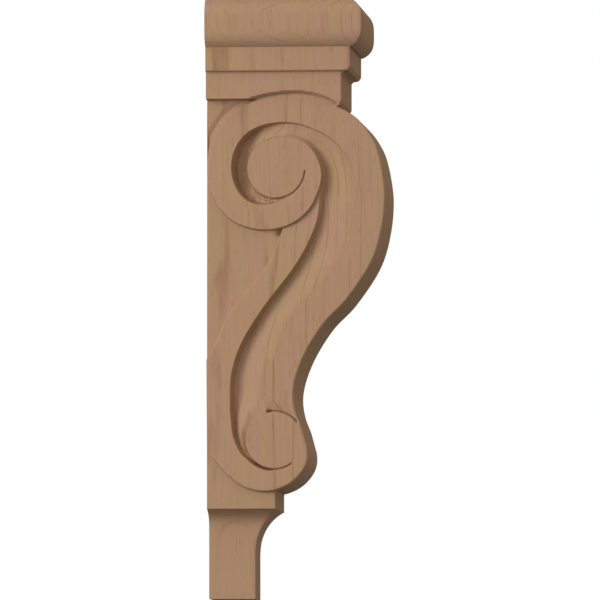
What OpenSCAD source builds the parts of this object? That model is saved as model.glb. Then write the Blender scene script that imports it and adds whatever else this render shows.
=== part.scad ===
// Carved wooden corbel bracket: one block of hardwood with a moulded cap, an S-scroll
// body with two volutes on each side, and a coved drop below.
// X runs out from the wall, Y across the bracket, Z up. The origin is at the middle of
// the flat back that is fixed to the wall.

/* [Cap] */
// Projection of the roll at the top, from the wall
roll_depth = 66.7; // [60:0.1:90]
// Width of the roll across the bracket
roll_width = 70; // [64:0.5:110]
// Height of the roll
roll_height = 20.3; // [12:0.1:26]
// Radius of the roll's rounded edge
roll_radius = 14; // [13.5:0.5:30]
// Projection of the square fillet under the roll
fillet_depth = 61.5; // [59:0.1:66]
// Width of the square fillet
fillet_width = 61; // [58:0.5:64]
// Height of the square fillet
fillet_height = 10.3; // [5:0.1:20]
// Projection of the neck under the fillet
neck_depth = 57.6; // [56.5:0.1:60]
// Width of the neck
neck_width = 56; // [53:0.5:58]
// Height of the neck at the front
neck_height = 14.4; // [10:0.1:30]
// Chamfer under the fillet
chamfer = 2; // [0.5:0.1:3]

/* [Body] */
// Largest projection of the scroll, from the wall
body_depth = 76; // [62:0.5:100]
// Height of the scroll, from the plinth to the neck
body_height = 162.5; // [120:0.5:240]
// Width of the body between the flat grounds behind the scrolls
ground_width = 44; // [36:0.5:48]
// Width over the raised scroll bands
band_width = 50; // [49:0.5:52]
// How far the ground rises into the neck behind the upper volute
ground_rise = 3; // [1:0.1:6]

/* [Carving] */
// Depth of the channel that winds between the two rims of the scroll
channel_depth = 4.5; // [2:0.1:7]
// Depth of the fine line around each volute's eye
crease_depth = 1; // [0.5:0.1:2]
// Width of that line at the surface
crease_width = 1; // [0.6:0.1:2]
// Clearance cut in the neck around the upper volute
volute_gap = 0.6; // [0.2:0.1:2]

/* [Drop] */
// Projection of the plinth under the scroll
plinth_depth = 29; // [24:0.1:34]
// Height of the plinth
plinth_height = 8.5; // [4:0.1:20]
// Height of the cove between the plinth and the foot
cove_height = 20; // [12:0.1:40]
// Projection of the foot
foot_depth = 19.7; // [12:0.1:23]
// Width of the foot
foot_width = 24; // [20:0.5:40]
// Height of the straight part of the foot
foot_height = 18; // [6:0.1:60]

/* [Hidden] */
reach = 30;
spline_steps = 4;
arc_steps = 16;
cove_power = 2.6;
wood = [0.66, 0.52, 0.40];

// heights of the members, from the underside of the foot
cove_z = foot_height;
plinth_z = cove_z + cove_height;
body_z = plinth_z + plinth_height;
neck_z = body_z + body_height;
fillet_z = neck_z + neck_height;
roll_z = fillet_z + fillet_height;
height = roll_z + roll_height;

// The scroll is drawn at this size, as [projection, rise above the plinth], and then
// stretched to body_depth and body_height.
drawn_depth = 76;
drawn_height = 162.5;
stretch = [body_depth / drawn_depth, body_height / drawn_height];

upper_eye = [29.5, 135.5];
lower_eye = [28.8, 20.4];
eye_radius = 12;

// front edge, from the neck down to where the lower volute takes over
front_knots = [[54.5, 163], [63.5, 157.5], [69.5, 150.5], [73.5, 141.5], [76, 125.5],
    [74.5, 109.5], [70, 95.5], [60, 80.5], [50.5, 70.5], [43.5, 60], [39, 50],
    [37, 41], [37.8, 33], [40.5, 25.5]];
// outer edge of the inner rim, from the wall up to the upper volute
rim_knots = [[0, 54.5], [4, 62], [8, 72], [14, 80.5], [24.5, 93], [29.5, 102.5], [33, 112]];
// inner side of the channel, from the upper volute down to the lower one
inner_knots = [[46.4, 123.7], [47.2, 116], [43.5, 105], [36.5, 93], [23.5, 76], [14.5, 61],
    [10.5, 48], [10, 33]];
// front side of the channel, from the upper volute down to the lower eye
outer_knots = [[63.9, 122.5], [60.5, 104], [52, 90.5], [38, 75], [31.5, 62.5], [26.5, 48.5],
    [24.8, 40]];

// spirals, each as [angle, radius] round an eye
upper_rim = [[47, 37.2], [90, 31.2], [135, 30.5], [180, 29], [225, 28.6], [270, 25.2],
    [315, 21.6]];
upper_whorl = [[325, 20.6], [360, 19.1], [405, 16.4], [450, 13.4], [495, 12.7], [540, 12]];
upper_channel = [[-7, 34.2], [24, 28], [52, 22.9], [90, 20], [135, 19.8], [180, 19],
    [225, 18.2], [250, 16], [275, 13.8], [300, 12.2]];
lower_rim = [[-12, 14.2], [-35, 16.8], [-60, 18.6], [-90, 20.4], [-120, 23], [-150, 25],
    [-175, 28.6]];
lower_channel = [[165, 18.7], [183, 16.7], [200, 15.4], [217, 14.1], [236, 13.6],
    [262, 13.2], [285, 12.1]];

// a smooth curve through knots, which also serves [angle, radius] pairs
function knot(p, i) = i < 0 ? 2 * p[0] - p[1]
    : i >= len(p) ? 2 * p[len(p) - 1] - p[len(p) - 2] : p[i];
function blend(a, b, c, d, t) = 0.5 * (2 * b + (c - a) * t + (2 * a - 5 * b + 4 * c - d) * t ^ 2
    + (3 * b - a - 3 * c + d) * t ^ 3);
function spline(p, steps = spline_steps) = [
    for (i = [0 : len(p) - 2]) for (s = [0 : steps - 1])
        blend(knot(p, i - 1), p[i], p[i + 1], knot(p, i + 2), s / steps),
    p[len(p) - 1]];
function polar(eye, r, a) = eye + r * [cos(a), sin(a)];
function spiral(eye, p, grow = 0) = [for (q = spline(p)) polar(eye, q[1] + grow, q[0])];
function arc(eye, r, a0, a1) = [for (s = [0 : 1 : arc_steps])
    polar(eye, r, a0 + (a1 - a0) * s / arc_steps)];
function reverse(p) = [for (i = [len(p) - 1 : -1 : 0]) p[i]];
function place(p) = [for (q = p) [q[0] * stretch[0], body_z + q[1] * stretch[1]]];
// the whole front edge, from the neck to the underside of the lower volute and the wall
front_edge = concat(spline(front_knots), spiral(lower_eye, lower_rim));

// profiles, as [distance out, height] from the bottom up
function roll_edge(edge) = [for (s = [0 : 1 : arc_steps])
    let (dz = roll_height * (s / arc_steps - 0.5))
    [edge - roll_radius + sqrt(roll_radius ^ 2 - dz ^ 2), roll_z + roll_height / 2 + dz]];
function cap_edge(neck, fillet, roll) = concat(
    [[neck - chamfer / 2, neck_z], [neck, neck_z + chamfer],
     [neck, fillet_z - chamfer / 2], [neck + chamfer / 2, fillet_z],
     [fillet - chamfer / 2, fillet_z + chamfer / 4], [fillet, fillet_z + chamfer],
     [fillet, roll_z]],
    roll_edge(roll));
function drop_edge(foot, plinth) = concat([[foot, 0]],
    [for (s = [0 : 1 : arc_steps]) let (t = s / arc_steps)
        [foot + (plinth - foot) * t ^ cove_power, cove_z + cove_height * t]],
    [[plinth, body_z]]);

// stands a side view up and gives it a width across the bracket
module side_view(points, width) {
    rotate([90, 0, 0])
        linear_extrude(width, center = true)
            polygon(points);
}

// a moulding that runs along the front and returns along both sides
module moulding(front, side) {
    low = front[0][1];
    high = front[len(front) - 1][1];
    intersection() {
        side_view(concat(front, [[0, high], [0, low]]), roll_width + reach);
        rotate([90, 0, 90])
            linear_extrude(body_depth + reach)
                polygon(concat(side, reverse([for (q = side) [-q[0], q[1]]])));
    }
}

// what is cut away from both flanks, to leave the given width
module flanks(points, width) {
    for (side = [-1, 1])
        translate([0, side * (width + reach) / 2, 0])
            side_view(points, reach);
}

// a fine line that follows a circle round an eye
module crease(eye, a0, a1) {
    flanks(place(concat(arc(eye, eye_radius, a0, a1),
        reverse(arc(eye, eye_radius + crease_width, a0, a1)))), band_width - 2 * crease_depth);
}

module cap() {
    ground_z = neck_z + ground_rise;
    difference() {
        moulding(cap_edge(neck_depth, fillet_depth, roll_depth),
            cap_edge(neck_width / 2, fillet_width / 2, roll_width / 2));
        flanks(place(concat([upper_eye], spiral(upper_eye, upper_rim, volute_gap))), band_width);
        flanks([[-reach, neck_z - reach], [upper_eye[0] * stretch[0], neck_z - reach],
            [upper_eye[0] * stretch[0], ground_z], [-reach, ground_z]], ground_width);
    }
}

module drop() {
    moulding(drop_edge(foot_depth, plinth_depth), drop_edge(foot_width / 2, ground_width / 2));
}

// the plain body between the two grounds
module ground() {
    edge = [for (q = place(front_edge)) if (q[0] > plinth_depth) q];
    top = [min(edge[0][0], neck_depth - chamfer), neck_z + ground_rise];
    side_view(concat([[0, top[1]], top], edge, [[plinth_depth, body_z], [0, body_z]]),
        ground_width);
}

// the raised band: both rims of the scroll, ending in the two volutes
module band() {
    rotate([90, 0, 0])
        linear_extrude(band_width, center = true) {
            polygon(place(concat(front_edge, spline(rim_knots), [upper_eye])));
            polygon(place(concat([upper_eye], spiral(upper_eye, upper_rim))));
        }
}

// the channel winds down from one eye, along the scroll, and in to the other eye
module channel() {
    flanks(place(concat(
        spiral(upper_eye, upper_channel),
        reverse(arc(upper_eye, eye_radius, 180, 300)),
        reverse(spiral(upper_eye, upper_whorl)),
        spline(inner_knots),
        spiral(lower_eye, lower_channel),
        reverse(arc(lower_eye, eye_radius, 104, 285)),
        reverse(spline(outer_knots)))), band_width - 2 * channel_depth);
}

module corbel() {
    color(wood) translate([0, 0, -height / 2])
        difference() {
            union() {
                cap();
                ground();
                band();
                drop();
            }
            channel();
            crease(upper_eye, 302, 355);
            crease(lower_eye, 42, 104);
            crease(lower_eye, 286, 304);
        }
}

corbel();
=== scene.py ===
"""The look of the carved wooden corbel: its carving as one closed mesh, its wood and a plain studio."""
import math

import bpy
import numpy as np
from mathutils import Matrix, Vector
from mathutils.geometry import delaunay_2d_cdt


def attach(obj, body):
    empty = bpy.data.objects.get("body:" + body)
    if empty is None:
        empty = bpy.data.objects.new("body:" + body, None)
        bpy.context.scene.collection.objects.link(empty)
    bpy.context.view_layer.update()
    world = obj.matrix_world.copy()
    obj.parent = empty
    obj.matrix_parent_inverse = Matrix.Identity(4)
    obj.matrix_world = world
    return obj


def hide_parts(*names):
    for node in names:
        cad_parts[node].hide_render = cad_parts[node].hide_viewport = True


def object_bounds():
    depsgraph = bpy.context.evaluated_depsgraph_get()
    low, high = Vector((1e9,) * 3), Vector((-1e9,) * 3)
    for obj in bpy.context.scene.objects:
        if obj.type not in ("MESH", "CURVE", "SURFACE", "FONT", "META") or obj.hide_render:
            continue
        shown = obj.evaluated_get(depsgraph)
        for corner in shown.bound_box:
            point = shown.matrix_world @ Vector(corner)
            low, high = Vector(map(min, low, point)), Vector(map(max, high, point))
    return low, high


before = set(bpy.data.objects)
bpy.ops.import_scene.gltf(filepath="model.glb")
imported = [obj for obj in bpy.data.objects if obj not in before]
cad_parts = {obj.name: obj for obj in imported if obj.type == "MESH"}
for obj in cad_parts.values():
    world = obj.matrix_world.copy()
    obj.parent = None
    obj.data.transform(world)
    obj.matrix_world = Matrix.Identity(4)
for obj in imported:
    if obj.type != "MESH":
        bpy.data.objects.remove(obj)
cad_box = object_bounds()

# Sizes in millimetres, as in the CAD. X runs out from the wall, Y across, and heights are from
# the underside of the foot. A size ending in HALF is half a width.
MILLIMETRES = 1000
TOP = round((cad_box[1][2] - cad_box[0][2]) * MILLIMETRES, 1)
ROLL_HALF = round(cad_box[1][1] * MILLIMETRES, 1)
ROLL_DEPTH, ROLL_BASE, ROLL_RADIUS = 66.7, 233.7, 14.0
FILLET_DEPTH, FILLET_HALF, FILLET_BASE = 61.5, 30.5, 223.4
NECK_DEPTH, NECK_HALF, NECK_BASE = 57.6, 28.0, 209.0
BAND_HALF, GROUND_HALF = 25.0, 22.0
PLINTH_DEPTH, PLINTH_BASE, PLINTH_TOP = 29.0, 38.0, 46.5
FOOT_DEPTH, FOOT_HALF, FOOT_TOP = 19.7, 12.0, 18.0
# How far the ground rises into the neck, and how far out from the wall it does so
GROUND_RISE, RISE_DEPTH = 3.0, 22.0

# The scroll's curves, as (projection, rise above the plinth)
FRONT = [(54.5, 163), (63.5, 157.5), (69.5, 150.5), (73.5, 141.5), (76, 125.5), (74.5, 109.5),
         (70, 95.5), (60, 80.5), (50.5, 70.5), (43.5, 60), (39, 50), (37, 41), (37.8, 33),
         (40.5, 25.5)]
RIM = [(0, 54.5), (4, 62), (8, 72), (14, 80.5), (24.5, 93), (29.5, 102.5), (33, 112)]
INNER = [(48.2, 127.9), (47.3, 116), (43.5, 105), (36.5, 93), (23.5, 76), (14.5, 61),
         (10.5, 48), (10, 33)]
OUTER = [(63.9, 122.5), (60.5, 104), (52, 90.5), (38, 75), (31.5, 62.5), (26.5, 48.5), (24.8, 40)]

# The volutes' eyes, as (projection, height), and the spirals round them, as (angle, radius)
UPPER_EYE = (29.5, 182.0)
LOWER_EYE = (28.8, 66.9)
EYE_RADIUS = 12.0
UPPER_RIM = [(47, 37.2), (90, 31.2), (135, 30.5), (180, 29), (225, 28.6), (270, 25.2), (315, 21.6)]
UPPER_WHORL = [(338, 20.2), (360, 19.1), (405, 16.4), (450, 13.4), (495, 12.7), (540, 12)]
UPPER_CHANNEL = [(-7, 34.2), (24, 28), (52, 22.9), (90, 20), (135, 19.8), (180, 19), (225, 18.2),
                 (250, 16), (275, 13.8), (300, 12.2)]
LOWER_RIM = [(-12, 14.2), (-35, 16.8), (-60, 18.8), (-90, 21.1), (-120, 23.2), (-150, 25),
             (-175, 28.6)]
LOWER_CHANNEL = [(165, 18.7), (183, 16.7), (200, 15.4), (217, 14.1), (236, 13.6), (262, 13.2),
                 (285, 12.1)]
# The upper volute's edge where the inner rim passes under it
TUCK_EDGE = [(225, 28.6), (270, 25.2), (315, 21.6), (325, 20.6), (350, 19.6)]

# How deep the recess is round the upper eye, as (angle, depth): beside the whorl, and at its open side
WHORL_DEPTH = [(0, 5.0), (20, 3.8), (45, 1.6), (75, 1.0), (105, 2.2), (135, 5.4), (160, 7.4),
               (205, 7.2), (225, 4.6), (250, 2.4), (275, 1.5), (300, 1.0), (360, 1.0)]
OPEN_DEPTH = [(0, 1.8), (45, 1.5), (75, 2.0), (105, 4.2), (130, 7.4), (205, 7.4), (225, 5.2),
              (250, 3.6), (275, 2.0), (300, 1.0), (360, 1.0)]
# How wide the wall on each side of it is, as (angle, width)
WHORL_WALL = [(0, 2.2), (40, 2.0), (80, 0.8), (140, 0.7), (359, 0.7), (360, 2.2)]
OPEN_WALL = [(0, 0.4), (80, 0.5), (120, 1.4), (160, 2.2), (220, 1.6), (260, 0.7), (360, 0.5)]
# How wide the wall beside the inner rim is, and how much wider it gets as it nears the whorl
RIM_WALL, RIM_WALL_GROWTH = 1.3, 0.9
# The step of the lower disc above the channel's floor, as (angle, depth), and its wall's width
DISC_DEPTH = [(100, 0.5), (140, 1.2), (180, 3.2), (240, 3.5)]
DISC_WALL = 0.4

# A raised edge: how wide its slope is, how far in it is eased, and by how much, there and at
# the bracket's own outline
EDGE_SLOPE, EDGE_ROUND = 0.5, 0.5
RIM_EASE, OUTLINE_EASE = 0.15, 0.2
# How far the rims drop where they pass under a volute, and how soon that fades
TUCK_DROP, TUCK_FADE = 1.9, 16
LOW_TUCK_DROP, LOW_TUCK_FADE = 0.9, 3
# The fine lines round the eyes: their middle, out from the eye's edge, their depth, how far
# they reach to each side, and where the mesh has an edge on each side
CREASE_OUT, CREASE_DEPTH, CREASE_REACH, CREASE_SIDE = 0.4, 1.1, 0.55, 0.5
# The pocket under the upper volute and the nick over the lower eye: place, size and depth
POCKET = ((31.6, 155.3), (1.7, 1.5), 2.5)
NICK = ((27.0, 79.2), (1.1, 0.6), 1.6)
# The hollow in the ground along the upper volute: depth, distance out from the rim, and width
SCOOP_DEPTH, SCOOP_OUT, SCOOP_WIDTH = 0.9, 1.6, 1.3
# How deep the tool marks in the recess are
TOOL_MARK = 0.45
# The scoop in the neck over the upper volute: its width, how far it starts below the band's
# face, and how far below the fillet it stays
NECK_SCOOP, NECK_SCOOP_LIP, NECK_SCOOP_TOP = 1.7, 0.6, 1.2
# The short slope at the neck's underside
UNDERSIDE = 0.4

# Gaps between the mesh's points, how near a line or the outline a loose point may lie, what
# counts as on a curve, and the angle that makes an edge sharp
FINE_GAP, COARSE_GAP, LINE_GAP = 0.72, 2.0, 0.8
NEAR_LINE, NEAR_OUTLINE = 0.28, 0.5
ON_CURVE, MERGE = 0.02, 1e-4
SHARP_ANGLE = 32
# Further out than the bracket reaches
BEYOND = 80.0

# Wood colours. In metres, the heart of the tree as (projection, distance across), and the gap
# between rings; how fast the rings close in above and below the middle, and how many rings
# they waver by
PINK_WOOD = (0.474, 0.285, 0.192, 1)
TAN_WOOD = (0.459, 0.297, 0.174, 1)
GRAIN_DARK = (0.72, 0.65, 0.56, 1)
HEART = (0.014, 0.045)
RING_GAP = 0.0026
RING_CLOSING, RING_WAVER = 0.05, 3.2

# Camera and lights, in metres, degrees and watts
AIM = (0.0399, -0.025, -0.0007)
CAMERA_GAP, VIEW_HEIGHT = 4.0, 0.2545
VIEW_AZIMUTH, VIEW_ELEVATION = 5.0, -3.6
SENSOR = 36
LIGHT_GAP = 1.5
KEY_AZIMUTH, KEY_ELEVATION, KEY_SIZE, KEY_POWER = -46, 10, 0.8, 12.3
FILL_AZIMUTH, FILL_ELEVATION, FILL_SIZE, FILL_POWER = -8, 4, 1.0, 3.0
LIGHT_ABOVE, LIGHT_BELOW, LIGHT_SPREAD = 0.56, 0.18, 0.6
ROOM_TINT = (1, 0.94, 0.84, 1)
WHITE = (1, 1, 1, 1)
FLOOR_SIZE, FLOOR_HEIGHT = 6, -0.6
FLOOR_PAINT = (0.8, 0.8, 0.8, 1)


# Curves of the side view, as arrays of (projection, height)
def spline(knots, steps=8):
    """A smooth curve through knots, which also serves (angle, radius) pairs."""
    p = np.array(knots, float)
    p = np.vstack([2 * p[0] - p[1], p, 2 * p[-1] - p[-2]])
    t = np.arange(steps)[:, None] / steps
    parts = []
    for a, b, c, d in zip(p, p[1:], p[2:], p[3:]):
        parts.append(0.5 * (2 * b + (c - a) * t + (2 * a - 5 * b + 4 * c - d) * t**2
                            + (3 * b - a - 3 * c + d) * t**3))
    return np.vstack(parts + [p[-2:-1]])


def raised(curve):
    """A curve of rises above the plinth, as heights above the underside of the foot."""
    return curve + np.array([0.0, PLINTH_TOP])


def polar(eye, radius, angle):
    """Points at a radius and angle, in degrees, round an eye."""
    angle = np.radians(angle)
    return np.column_stack([eye[0] + radius * np.cos(angle), eye[1] + radius * np.sin(angle)])


def spiral(eye, knots, grow=0.0):
    q = spline(knots)
    return polar(eye, q[:, 1] + grow, q[:, 0])


def arc(eye, radius, start, end, steps=40):
    return polar(eye, radius, np.linspace(start, end, steps + 1))


def beside(curve, gap):
    """The curve moved to its left by gap."""
    along = np.gradient(curve, axis=0)
    along /= np.linalg.norm(along, axis=1)[:, None]
    return curve + gap * np.column_stack([-along[:, 1], along[:, 0]])


def even(curve, gap):
    """The curve with extra points, so that they lie no further apart than gap."""
    step = np.linalg.norm(np.diff(curve, axis=0), axis=1)
    along = np.concatenate([[0], np.cumsum(step)])
    at = [along[0]]
    for start, end in zip(along, along[1:]):
        count = max(int(math.ceil((end - start) / gap)), 1)
        at.extend(np.linspace(start, end, count + 1)[1:])
    return np.column_stack([np.interp(at, along, curve[:, i]) for i in (0, 1)])


def level(height, right=BEYOND):
    """A level line from the wall out to right."""
    return np.array([(0.0, height), (right, height)])


# Measures of points of the side view
def distance(points, curve):
    """The distance from each point to a line of points."""
    best = np.full(len(points), np.inf)
    for a, b in zip(curve, curve[1:]):
        ab = b - a
        length = max(float(ab @ ab), 1e-12)
        t = np.clip((points - a) @ ab / length, 0, 1)
        gap = points - a - t[:, None] * ab
        best = np.minimum(best, (gap**2).sum(axis=1))
    return np.sqrt(best)


def inside(points, closed):
    """Whether each point is inside a closed outline."""
    x, y = points[:, 0], points[:, 1]
    odd = np.zeros(len(points), bool)
    for a, b in zip(closed, np.roll(closed, -1, axis=0)):
        if a[1] == b[1]:
            continue
        crosses = (a[1] > y) != (b[1] > y)
        odd ^= crosses & (x < a[0] + (y - a[1]) * (b[0] - a[0]) / (b[1] - a[1]))
    return odd


def depth_inside(points, closed):
    """The distance to a closed outline, positive inside it."""
    gap = distance(points, np.vstack([closed, closed[:1]]))
    return np.where(inside(points, closed), gap, -gap)


def angle_round(points, eye):
    """The angle of each point round an eye, from 0 to 360."""
    return np.degrees(np.arctan2(points[:, 1] - eye[1], points[:, 0] - eye[0])) % 360


def radius_round(points, eye):
    return np.hypot(points[:, 0] - eye[0], points[:, 1] - eye[1])


def smooth(x):
    """An eased step from 0 to 1 as x goes from 0 to 1."""
    x = np.clip(x, 0, 1)
    return x * x * (3 - 2 * x)


def span(x, start, end, ease_in, ease_out):
    """1 between start and end, easing in over the first stretch and out over the last."""
    return smooth((x - start) / ease_in) * smooth((end - x) / ease_out)


def by_angle(angle, pairs):
    return np.interp(angle, [a for a, _ in pairs], [d for _, d in pairs])


# The mouldings' profiles, as (distance out, height), from the bottom up
def roll_profile(edge, fullness=3.6, steps=24):
    """The rounded edge of the cap, flatter at its middle than a circle."""
    half_height = (TOP - ROLL_BASE) / 2
    u = np.linspace(-1, 1, steps + 1)
    deepest = ROLL_RADIUS - math.sqrt(ROLL_RADIUS**2 - half_height**2)
    out = edge - deepest * np.abs(u) ** fullness
    return np.column_stack([out, (TOP + ROLL_BASE) / 2 + half_height * u])


def cap_profile(neck, fillet, roll, chamfer):
    low = [(neck - chamfer / 2, NECK_BASE), (neck, NECK_BASE + chamfer),
           (neck, FILLET_BASE - chamfer / 2), (neck + chamfer / 2, FILLET_BASE),
           (fillet - chamfer / 2, FILLET_BASE + chamfer / 4), (fillet, FILLET_BASE + chamfer),
           (fillet, ROLL_BASE)]
    rolled = roll_profile(roll)
    # The roll starts a hair above the fillet's top, so that no two points share a height
    rolled[0, 1] += 0.05
    return np.vstack([low, rolled])


def drop_profile(foot, plinth, power, steps=24):
    """The foot, the cove that widens up from it, and the plinth."""
    t = np.linspace(0, 1, steps + 1)
    cove = np.column_stack([foot + (plinth - foot) * t**power,
                            FOOT_TOP + (PLINTH_BASE - FOOT_TOP) * t])
    return np.vstack([[(foot, 0)], cove, [(plinth, PLINTH_TOP)]])


front_curve = raised(spline(FRONT))
under_curve = spiral(LOWER_EYE, LOWER_RIM)
rim_curve = raised(spline(RIM))
inner_curve = raised(spline(INNER))
outer_curve = raised(spline(OUTER))
volute_curve = spiral(UPPER_EYE, UPPER_RIM)
whorl_curve = spiral(UPPER_EYE, UPPER_WHORL)
upper_channel = spiral(UPPER_EYE, UPPER_CHANNEL)
lower_channel = spiral(LOWER_EYE, LOWER_CHANNEL)
upper_arc = arc(UPPER_EYE, EYE_RADIUS, 180, 300)
lower_arc = arc(LOWER_EYE, EYE_RADIUS, 104, 285)
creases = [arc(UPPER_EYE, EYE_RADIUS + CREASE_OUT, 272, 356),
           arc(LOWER_EYE, EYE_RADIUS + CREASE_OUT, 40, 104),
           arc(LOWER_EYE, EYE_RADIUS + CREASE_OUT, 232, 306)]

# The two sides of the channel, each from the upper volute down to the lower one
wall_side = np.vstack([upper_arc[::-1], whorl_curve[::-1], inner_curve, lower_channel])
open_side = np.vstack([upper_channel[::-1], outer_curve, lower_arc])
channel_outline = np.vstack([upper_channel, wall_side, lower_arc[::-1], outer_curve[::-1]])
eye_point = np.array([UPPER_EYE])
band_outline = np.vstack([front_curve, under_curve, rim_curve, eye_point])
volute_outline = np.vstack([eye_point, volute_curve])

cap_front = cap_profile(NECK_DEPTH, FILLET_DEPTH, ROLL_DEPTH, chamfer=2.0)
cap_side = cap_profile(NECK_HALF, FILLET_HALF, ROLL_HALF, chamfer=0.6)
drop_front = drop_profile(FOOT_DEPTH, PLINTH_DEPTH, power=2.6)
drop_side = drop_profile(FOOT_HALF, GROUND_HALF, power=8.0)


# The relief: half the width of the bracket at each point of its side view
def rim_wall(height):
    """How wide the wall beside the inner rim is: it widens over 20 mm from a height of 150."""
    return RIM_WALL + RIM_WALL_GROWTH * smooth((height - 150) / 20)


def tool_marks(p, turn):
    """The rough floor left in the lower part of the recess."""
    marks = np.sin(3.1 * p[:, 0] + 1.7 * p[:, 1]) * np.sin(1.9 * p[:, 0] - 3.3 * p[:, 1])
    return TOOL_MARK * span(turn, 215, 290, 15, 15) * marks


def channel_depth(p, left, right):
    """How deep the channel is: steep beside the whorl and inner rim, and coved up to its open side.

    left and right are the distances to those two sides. Along the body of the scroll, past the
    upper volute, the turn round the upper eye counts as 0.
    """
    turn = angle_round(p, UPPER_EYE)
    past_volute = (turn > 320) | ((turn > 230) & (radius_round(p, UPPER_EYE) > 20))
    turn = np.where(past_volute, 0, turn)
    # 1 beside the lower eye, and 0 from 24 mm above it
    low = smooth((LOWER_EYE[1] + 24 - p[:, 1]) / 18)
    disc = by_angle(angle_round(p, LOWER_EYE), DISC_DEPTH)
    wall = by_angle(turn, WHORL_DEPTH)
    step = by_angle(turn, OPEN_DEPTH) * (1 - low) + disc * low
    width = left + right
    across = left / (width + 1e-9)
    wall_width = np.where(turn == 0, rim_wall(p[:, 1]), by_angle(turn, WHORL_WALL))
    rise = np.clip(left / wall_width, 0, 1)
    lean = np.clip(right / by_angle(turn, OPEN_WALL), 0, 1)
    floor = (wall - step) * (0.5 + 0.5 * np.cos(math.pi * across)) + step + tool_marks(p, turn)
    # The floor swells beside the lower eye, and it runs out where the two sides meet
    bulge = 1.6 * low * np.sin(math.pi * across) ** 2 * np.clip((width - 1.5) / 2, 0, 1)
    return np.maximum(floor - bulge, 0) * lean * rise * smooth((width - 0.5) / 0.8)


def tucked(p):
    """How far the inner rim drops where it passes under the upper volute."""
    turn = angle_round(p, UPPER_EYE)
    beyond = radius_round(p, UPPER_EYE) - by_angle(turn, TUCK_EDGE)
    fade = span(turn, 235, 350, 12, 8) * np.exp(-np.maximum(beyond, 0) / TUCK_FADE)
    return TUCK_DROP * np.clip(beyond / EDGE_SLOPE, 0, 1) * fade


def tucked_low(p):
    """How far the front rim drops where it passes under the lower disc."""
    turn = angle_round(p, LOWER_EYE)
    beyond = radius_round(p, LOWER_EYE) - EYE_RADIUS
    fade = span(turn, 30, 125, 15, 20) * np.exp(-(np.maximum(beyond, 0) / LOW_TUCK_FADE) ** 2)
    return LOW_TUCK_DROP * np.clip(beyond / EDGE_SLOPE, 0, 1) * fade


def notch(p, place, size, depth):
    """A small soft dent."""
    return depth * np.exp(-((p - place) ** 2 / np.square(size)).sum(axis=1))


def scroll_half(p):
    """Half the width of the scroll body at points of its side view."""
    band = np.maximum(depth_inside(p, band_outline), depth_inside(p, volute_outline))
    rim = np.clip(1 + band / EDGE_SLOPE, 0, 1)
    scoop = SCOOP_DEPTH * np.exp(-((band + SCOOP_OUT) / SCOOP_WIDTH) ** 2)
    scoop *= smooth((p[:, 1] - 178) / 12)
    ground = GROUND_HALF - (scoop + notch(p, *POCKET)) * (rim < 1)
    top = BAND_HALF - tucked(p) - tucked_low(p) - notch(p, *NICK)
    half = ground + (top - ground) * rim
    half -= RIM_EASE * np.clip(1 - band / EDGE_ROUND, 0, 1) * rim
    left = distance(p, wall_side)
    cut = channel_depth(p, left, distance(p, open_side))
    on_wall = np.clip(1 - left / rim_wall(p[:, 1]), 0, 1)
    carved = np.minimum(half, BAND_HALF - (BAND_HALF - half) * on_wall - cut)
    half = np.where(inside(p, channel_outline), carved, half)
    for line in creases:
        half -= CREASE_DEPTH * np.clip(1 - distance(p, line) / CREASE_REACH, 0, 1)
    return half


def cap_half(p, gap):
    """Half the width of the cap, scooped where its neck meets the upper volute, gap away."""
    cap = np.interp(p[:, 1], cap_side[:, 1], cap_side[:, 0])
    beside_volute = BAND_HALF - NECK_SCOOP_LIP
    scooped = beside_volute + (NECK_HALF - beside_volute) * smooth(gap / NECK_SCOOP)
    return np.where(p[:, 1] < FILLET_BASE - NECK_SCOOP_TOP, np.minimum(cap, scooped), cap)


def half_width(p):
    """Half the width of the whole bracket at points of its side view."""
    drop = np.interp(p[:, 1], drop_side[:, 1], drop_side[:, 0])
    half = np.where(p[:, 1] < PLINTH_BASE, drop, scroll_half(p))
    gap = distance(p, volute_curve)
    base = np.where(p[:, 0] < RISE_DEPTH, NECK_BASE + GROUND_RISE, NECK_BASE)
    over = np.clip((p[:, 1] - base) / UNDERSIDE + 1, 0, 1)
    over = np.where(inside(p, volute_outline) | (gap < ON_CURVE), 0, over)
    return half + (cap_half(p, gap) - half) * over


# The mesh
def side_outline():
    """The bracket's outline seen from the side, from the foot up the front and down the wall."""
    lower = under_curve[under_curve[:, 0] > PLINTH_DEPTH]
    scroll = np.vstack([front_curve, lower])[::-1]
    scroll = scroll[scroll[:, 1] < NECK_BASE]
    corner = (PLINTH_DEPTH, np.interp(PLINTH_DEPTH, *under_curve[::-1].T))
    return np.vstack([[(0, 0)], drop_front[:-1], [corner], scroll, cap_front, [(0, TOP)]])


def rim_lines():
    """The edge of each raised rim, with the foot of its slope and the start of its easing."""
    lines = [rim_curve, volute_curve, under_curve]
    lines += [beside(rim_curve, EDGE_SLOPE), beside(rim_curve, -EDGE_ROUND)]
    lines += [spiral(UPPER_EYE, UPPER_RIM, EDGE_SLOPE), spiral(LOWER_EYE, LOWER_RIM, EDGE_SLOPE)]
    lines += [beside(front_curve, -EDGE_ROUND), spiral(LOWER_EYE, LOWER_RIM, -EDGE_ROUND)]
    lines += [spiral(UPPER_EYE, TUCK_EDGE), spiral(UPPER_EYE, TUCK_EDGE, EDGE_SLOPE)]
    return lines


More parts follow.
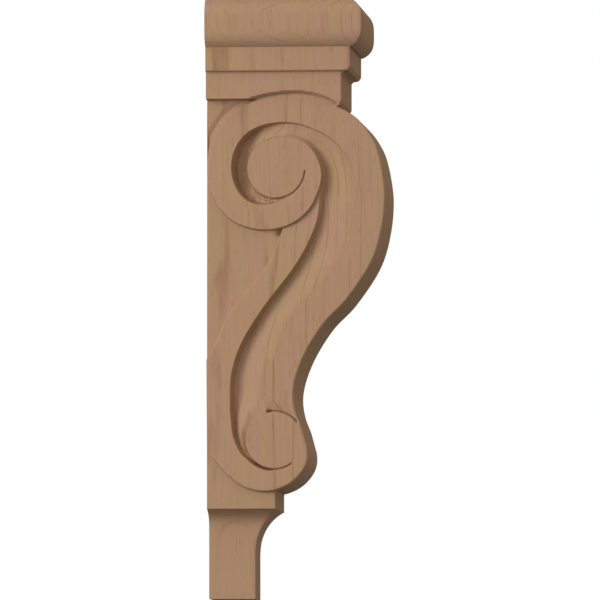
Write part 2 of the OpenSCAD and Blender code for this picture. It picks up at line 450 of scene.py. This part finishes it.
def channel_lines():
    """The two sides of the channel, and the foot of the wall at each."""
    open_foot = [(a, r - by_angle(max(a, 0), OPEN_WALL)) for a, r in UPPER_CHANNEL[:-1]]
    whorl_foot = [(a, r + by_angle(a - 360, WHORL_WALL)) for a, r in UPPER_WHORL[1:]]
    lines = [wall_side, open_side, spiral(UPPER_EYE, open_foot), spiral(UPPER_EYE, whorl_foot)]
    lines += [beside(inner_curve, rim_wall(inner_curve[:, 1:]))]
    lines += [spiral(LOWER_EYE, LOWER_CHANNEL[:-3], -RIM_WALL), beside(outer_curve, -DISC_WALL)]
    lines += [arc(LOWER_EYE, EYE_RADIUS + DISC_WALL, 104, 230)]
    return lines


def moulding_lines():
    """The level arrises of the cap, the neck's underside and the drop."""
    heights = set(cap_side[:, 1]) | set(drop_side[:, 1])
    lines = [level(height) for height in sorted(heights) if 0 < height < TOP]
    lines += [level(NECK_BASE - UNDERSIDE), level(NECK_BASE + GROUND_RISE, RISE_DEPTH)]
    lines += [level(NECK_BASE + GROUND_RISE - UNDERSIDE, RISE_DEPTH)]
    return lines


def side_lines():
    """The lines of the side view that mesh edges follow, so that every arris is crisp."""
    lines = [outline] + rim_lines() + channel_lines() + moulding_lines()
    for line in creases:
        lines += [line, beside(line, CREASE_SIDE), beside(line, -CREASE_SIDE)]
    return lines


def grid(gap, low, high):
    """Points of a triangular grid over the side view between two heights."""
    rows = np.arange(low, high, gap * math.sqrt(3) / 2)
    columns = np.arange(0, BEYOND, gap)
    x, z = np.meshgrid(columns, rows)
    x = x + (np.arange(len(rows)) % 2)[:, None] * gap / 2
    return np.column_stack([x.ravel(), z.ravel()])


def loose_points(lines):
    """The points between the lines: fine over the carving, and coarse over the cap and the drop."""
    carving_base = PLINTH_TOP - 2
    carving_top = NECK_BASE + 8
    fine = grid(FINE_GAP, carving_base, carving_top)
    room = np.full(len(fine), np.inf)
    for line in lines:
        room = np.minimum(room, distance(fine, line))
    coarse = [grid(COARSE_GAP, NEAR_OUTLINE, carving_base), grid(COARSE_GAP, carving_top, TOP)]
    loose = np.vstack([fine[room > NEAR_LINE]] + coarse)
    return loose[depth_inside(loose, outline) > NEAR_OUTLINE]


def side_mesh():
    """Points and triangles of the side view, with an edge along every line."""
    lines = [even(line, LINE_GAP) for line in side_lines()]
    points = [loose_points(lines)]
    edges = []
    first = count = len(points[0])
    for line in lines:
        points.append(line)
        edges += [(count + i, count + i + 1) for i in range(len(line) - 1)]
        count += len(line)
    # The outline is the first line, and its ends join
    edges.append((first + len(lines[0]) - 1, first))
    flat = [Vector(point) for point in np.vstack(points)]
    made = delaunay_2d_cdt(flat, edges, [], 0, MERGE)
    return np.array(made[0]), np.array([face for face in made[2] if len(face) == 3])


def open_edges(triangles):
    """The edges that only one triangle uses, each in that triangle's direction."""
    sides = np.vstack([triangles[:, [0, 1]], triangles[:, [1, 2]], triangles[:, [2, 0]]])
    used = {(a, b) for a, b in sides.tolist()}
    return sorted((a, b) for a, b in used if (b, a) not in used)


def carved_mesh():
    """The whole bracket as one closed mesh, in metres, with the origin at the middle of its back."""
    flat, triangles = side_mesh()
    triangles = triangles[inside(flat[triangles].mean(axis=1), outline)]
    used, triangles = np.unique(triangles, return_inverse=True)
    triangles = triangles.reshape(-1, 3)
    flat = flat[used]
    # The arris along the outline is eased, except at the wall
    eased = np.clip(1 - distance(flat, outline) / EDGE_ROUND, 0, 1) * (flat[:, 0] > 1)
    half = half_width(flat) - OUTLINE_EASE * eased
    near = np.column_stack([flat[:, 0], -half, flat[:, 1] - TOP / 2])
    far = near * [1, -1, 1]
    total = len(flat)
    strip = [(b, a, a + total, b + total) for a, b in open_edges(triangles)]
    faces = triangles.tolist() + (triangles[:, ::-1] + total).tolist() + strip
    mesh = bpy.data.meshes.new("carved_corbel")
    mesh.from_pydata((np.vstack([near, far]) / MILLIMETRES).tolist(), [], faces)
    mesh.validate()
    mesh.shade_smooth()
    mesh.set_sharp_from_angle(angle=math.radians(SHARP_ANGLE))
    return mesh


# The wood
def link(tree, source, target):
    tree.links.new(source, target)


def stretched_noise(tree, place, across, along, detail=3.0):
    """Noise stretched along the grain, with how often it varies in a metre across and along."""
    mapping = tree.nodes.new("ShaderNodeMapping")
    mapping.inputs["Scale"].default_value = (across, across, along)
    noise = tree.nodes.new("ShaderNodeTexNoise")
    noise.inputs["Scale"].default_value = 1.0
    noise.inputs["Detail"].default_value = detail
    link(tree, place, mapping.inputs["Vector"])
    link(tree, mapping.outputs["Vector"], noise.inputs["Vector"])
    return noise.outputs["Fac"]


def ramp(tree, value, stops):
    """A grey ramp with its stops as (place, grey)."""
    node = tree.nodes.new("ShaderNodeValToRGB")
    while len(node.color_ramp.elements) < len(stops):
        node.color_ramp.elements.new(0.5)
    for element, (at, grey) in zip(node.color_ramp.elements, stops):
        element.position = at
        element.color = (grey, grey, grey, 1)
    link(tree, value, node.inputs["Fac"])
    return node.outputs["Color"]


def maths(tree, operation, a, b=0):
    node = tree.nodes.new("ShaderNodeMath")
    node.operation = operation
    for socket, value in zip(node.inputs, (a, b)):
        if isinstance(value, (int, float)):
            socket.default_value = value
        else:
            link(tree, value, socket)
    return node.outputs["Value"]


def mix(tree, factor, a, b, blend="MIX"):
    node = tree.nodes.new("ShaderNodeMix")
    node.data_type = "RGBA"
    node.blend_type = blend
    for name, value in (("Factor", factor), ("A", a), ("B", b)):
        socket = next(s for s in node.inputs if s.name == name and s.enabled)
        if isinstance(value, (int, float, tuple)):
            socket.default_value = value
        else:
            link(tree, value, socket)
    return next(s for s in node.outputs if s.enabled)


def darkened(tree, amount, colour):
    """The colour, darkened as the grain is where amount is 1."""
    return mix(tree, amount, colour, mix(tree, 1.0, colour, GRAIN_DARK, "MULTIPLY"))


def ring_number(tree, place):
    """Which growth ring a point is in, counted from the heart of the tree behind the far flank."""
    from_heart = tree.nodes.new("ShaderNodeMapping")
    from_heart.inputs["Location"].default_value = (-HEART[0], -HEART[1], 0)
    from_heart.inputs["Scale"].default_value = (1, 1, RING_CLOSING)
    radius = tree.nodes.new("ShaderNodeVectorMath")
    radius.operation = "LENGTH"
    link(tree, place, from_heart.inputs["Vector"])
    link(tree, from_heart.outputs["Vector"], radius.inputs[0])
    waver = maths(tree, "MULTIPLY", stretched_noise(tree, place, 30, 4), RING_WAVER)
    return maths(tree, "ADD", maths(tree, "DIVIDE", radius.outputs["Value"], RING_GAP), waver)


def ring_lines(tree, place):
    """The thin dark line at each ring's edge, broken up along its length."""
    across_ring = maths(tree, "FRACT", ring_number(tree, place))
    edge = ramp(tree, across_ring, [(0.0, 0.7), (0.04, 0), (0.84, 0), (1.0, 0.7)])
    broken = ramp(tree, stretched_noise(tree, place, 120, 30, 2), [(0.42, 0.05), (0.6, 1)])
    return maths(tree, "MULTIPLY", edge, broken)


def wood_colour(tree, place):
    """Two soft tones, then the rings, the fibres and the short flecks."""
    mottle = ramp(tree, stretched_noise(tree, place, 85, 16), [(0.38, 0), (0.62, 1)])
    colour = darkened(tree, ring_lines(tree, place), mix(tree, mottle, PINK_WOOD, TAN_WOOD))
    fibres = ramp(tree, stretched_noise(tree, place, 1500, 60, 2), [(0.3, 0.94), (0.7, 1.04)])
    colour = mix(tree, 1.0, colour, fibres, "MULTIPLY")
    flecks = ramp(tree, stretched_noise(tree, place, 900, 170, 1), [(0.29, 0.32), (0.35, 0)])
    return darkened(tree, flecks, colour)


def wood_material():
    """Bare maple: fine vertical grain, a few thin rings, short flecks and a soft mottle."""
    material = bpy.data.materials.new("bare_maple")
    material.use_nodes = True
    tree = material.node_tree
    shader = tree.nodes["Principled BSDF"]
    shader.inputs["Specular IOR Level"].default_value = 0.05
    place = tree.nodes.new("ShaderNodeTexCoord").outputs["Object"]
    link(tree, wood_colour(tree, place), shader.inputs["Base Color"])
    rough = ramp(tree, stretched_noise(tree, place, 400, 40, 2), [(0.3, 0.66), (0.7, 0.8)])
    link(tree, rough, shader.inputs["Roughness"])
    bump = tree.nodes.new("ShaderNodeBump")
    bump.inputs["Strength"].default_value = 0.15
    bump.inputs["Distance"].default_value = 0.00012
    link(tree, stretched_noise(tree, place, 1300, 90), bump.inputs["Height"])
    link(tree, bump.outputs["Normal"], shader.inputs["Normal"])
    return material


# The studio and the camera
def direction(azimuth, elevation):
    """A unit vector; azimuth is from -Y towards +X, in degrees."""
    a, e = math.radians(azimuth), math.radians(elevation)
    return Vector((math.sin(a) * math.cos(e), -math.cos(a) * math.cos(e), math.sin(e)))


def aimed(name, data, towards, gap):
    """A light or camera that looks at AIM from a direction and a distance."""
    thing = bpy.data.objects.new(name, data)
    thing.location = Vector(AIM) + gap * towards
    thing.rotation_euler = (-towards).to_track_quat("-Z", "Y").to_euler()
    bpy.context.scene.collection.objects.link(thing)
    return thing


def area_light(name, azimuth, elevation, size, power):
    light = bpy.data.lights.new(name, "AREA")
    light.shape = "DISK"
    light.size = size
    light.energy = power
    aimed(name, light, direction(azimuth, elevation), LIGHT_GAP)


def pale_room():
    """White to the camera, and for everything else a warm soft light, stronger from above."""
    world = bpy.data.worlds.new("pale_room")
    bpy.context.scene.world = world
    world.use_nodes = True
    tree = world.node_tree
    background = tree.nodes["Background"]
    to_camera = tree.nodes.new("ShaderNodeLightPath").outputs["Is Camera Ray"]
    split = tree.nodes.new("ShaderNodeSeparateXYZ")
    link(tree, tree.nodes.new("ShaderNodeTexCoord").outputs["Generated"], split.inputs["Vector"])
    spread = tree.nodes.new("ShaderNodeMapRange")
    spread.inputs["From Min"].default_value = -LIGHT_SPREAD
    spread.inputs["From Max"].default_value = LIGHT_SPREAD
    spread.inputs["To Min"].default_value = LIGHT_BELOW
    spread.inputs["To Max"].default_value = LIGHT_ABOVE
    link(tree, split.outputs["Z"], spread.inputs["Value"])
    room = spread.outputs["Result"]
    seen = maths(tree, "MULTIPLY", to_camera, maths(tree, "SUBTRACT", 1, room))
    link(tree, maths(tree, "ADD", room, seen), background.inputs["Strength"])
    link(tree, mix(tree, to_camera, ROOM_TINT, WHITE), background.inputs["Color"])


def pale_floor():
    """A plain floor that throws no light back on the wood."""
    bpy.ops.mesh.primitive_plane_add(size=FLOOR_SIZE, location=(0, 0, FLOOR_HEIGHT))
    floor = bpy.context.object
    floor.name = "floor"
    paint = bpy.data.materials.new("pale_floor")
    paint.use_nodes = True
    paint.node_tree.nodes["Principled BSDF"].inputs["Base Color"].default_value = FLOOR_PAINT
    floor.data.materials.append(paint)
    floor.visible_diffuse = False
    floor.visible_glossy = False


def studio():
    pale_room()
    area_light("key_light", KEY_AZIMUTH, KEY_ELEVATION, KEY_SIZE, KEY_POWER)
    area_light("fill_light", FILL_AZIMUTH, FILL_ELEVATION, FILL_SIZE, FILL_POWER)
    pale_floor()
    bpy.context.scene.view_settings.view_transform = "Standard"


def camera():
    lens = bpy.data.cameras.new("camera")
    lens.sensor_width = SENSOR
    lens.lens = SENSOR * CAMERA_GAP / VIEW_HEIGHT
    lens.clip_end = 50
    seen_from = direction(VIEW_AZIMUTH, VIEW_ELEVATION)
    bpy.context.scene.camera = aimed("camera", lens, seen_from, CAMERA_GAP)


outline = side_outline()
corbel = bpy.data.objects.new("carved_corbel", carved_mesh())
bpy.context.scene.collection.objects.link(corbel)
corbel.data.materials.append(wood_material())
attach(corbel, "root")
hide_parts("corbel")
studio()
camera()
